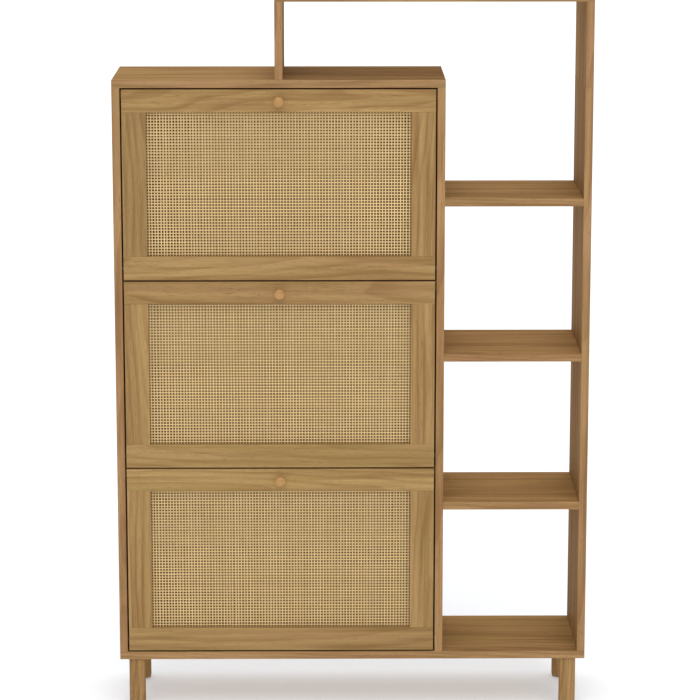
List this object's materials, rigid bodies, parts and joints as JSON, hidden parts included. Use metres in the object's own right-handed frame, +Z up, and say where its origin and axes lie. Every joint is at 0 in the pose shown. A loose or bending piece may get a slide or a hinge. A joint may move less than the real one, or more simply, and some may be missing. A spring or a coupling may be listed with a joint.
{
  "type": "shoe cabinet",
  "caption": "Oak-look shoe cabinet on square legs: stacked tilt-out flaps with cane panels beside an open shelf tower, bridged by a raised top board.",
  "frame": {"origin": "on the floor, in the middle of the object's box, which reaches from the knobs' tips in front to the carcass's back edges", "axes": "+Z up, -Y out of the front where the flaps open, +X to the right towards the open tower"},
  "size_m": [0.9, 0.26, 1.385],
  "materials": {
    "carcass_oak": "light oak veneer on board, satin, grain along each board",
    "leg_oak": "solid oak, satin, grain upright",
    "flap_oak": "light oak, satin, grain along each rail and stile",
    "cane": "square open mesh woven of thin pale cane",
    "knob_wood": "turned beech, satin",
    "tier_board": "dark brown oak-look board, satin",
    "inner_board": "oak-look board, satin",
    "back_board": "thin oak-look hardboard, satin",
    "dowel_wood": "beech, untreated",
    "rack_plastic": "dark brown moulded plastic",
    "bush_plastic": "dark brown nylon",
    "glide_felt": "brown pad",
    "steel": "zinc plated"
  },
  "bodies": {
    "carcass": {"left_side_panel": "carcass_oak", "divider_panel": "carcass_oak", "lower_right_side_panel": "carcass_oak", "upper_right_side_panel": "carcass_oak", "bottom_board": "carcass_oak", "cabinet_top_board": "carcass_oak", "short_upright": "carcass_oak", "top_board": "carcass_oak", "upper_shelf": "carcass_oak", "middle_shelf": "carcass_oak", "lower_shelf": "carcass_oak", "hang_rail": "inner_board", "stop_rails": "carcass_oak", "back_panel": "back_board", "front_left_leg": "leg_oak", "front_right_leg": "leg_oak", "rear_left_leg": "leg_oak", "rear_right_leg": "leg_oak", "leg_glides": "glide_felt", "leg_bolts": "steel", "dowels": "dowel_wood", "carcass_screws": "steel", "pivot_bushes": "bush_plastic", "stop_pins": "steel"},
    "lower_flap": {"lower_flap_top_rail": "flap_oak", "lower_flap_bottom_rail": "flap_oak", "lower_flap_left_stile": "flap_oak", "lower_flap_right_stile": "flap_oak", "lower_flap_cane_panel": "cane", "lower_flap_cane_beads": "flap_oak", "lower_flap_knob": "knob_wood", "lower_flap_screws": "steel", "lower_flap_pivot_pins": "steel", "lower_flap_tier_boards": "tier_board", "lower_flap_left_rack_side": "rack_plastic", "lower_flap_right_rack_side": "rack_plastic"},
    "middle_flap": {"middle_flap_top_rail": "flap_oak", "middle_flap_bottom_rail": "flap_oak", "middle_flap_left_stile": "flap_oak", "middle_flap_right_stile": "flap_oak", "middle_flap_cane_panel": "cane", "middle_flap_cane_beads": "flap_oak", "middle_flap_knob": "knob_wood", "middle_flap_screws": "steel", "middle_flap_pivot_pins": "steel", "middle_flap_tier_boards": "tier_board", "middle_flap_left_rack_side": "rack_plastic", "middle_flap_right_rack_side": "rack_plastic"},
    "upper_flap": {"upper_flap_top_rail": "flap_oak", "upper_flap_bottom_rail": "flap_oak", "upper_flap_left_stile": "flap_oak", "upper_flap_right_stile": "flap_oak", "upper_flap_cane_panel": "cane", "upper_flap_cane_beads": "flap_oak", "upper_flap_knob": "knob_wood", "upper_flap_screws": "steel", "upper_flap_pivot_pins": "steel", "upper_flap_tier_boards": "tier_board", "upper_flap_left_rack_side": "rack_plastic", "upper_flap_right_rack_side": "rack_plastic"}
  },
  "joints": [
    {"name": "lower_flap_hinge", "type": "hinge", "parent": "carcass", "child": "lower_flap", "pos_m": [-0.138, -0.1025, 0.14], "axis": [1, 0, 0], "range_deg": [0, 42]},
    {"name": "middle_flap_hinge", "type": "hinge", "parent": "carcass", "child": "middle_flap", "pos_m": [-0.138, -0.1025, 0.504], "axis": [1, 0, 0], "range_deg": [0, 42]},
    {"name": "upper_flap_hinge", "type": "hinge", "parent": "carcass", "child": "upper_flap", "pos_m": [-0.138, -0.1025, 0.868], "axis": [1, 0, 0], "range_deg": [0, 42]}
  ]
}
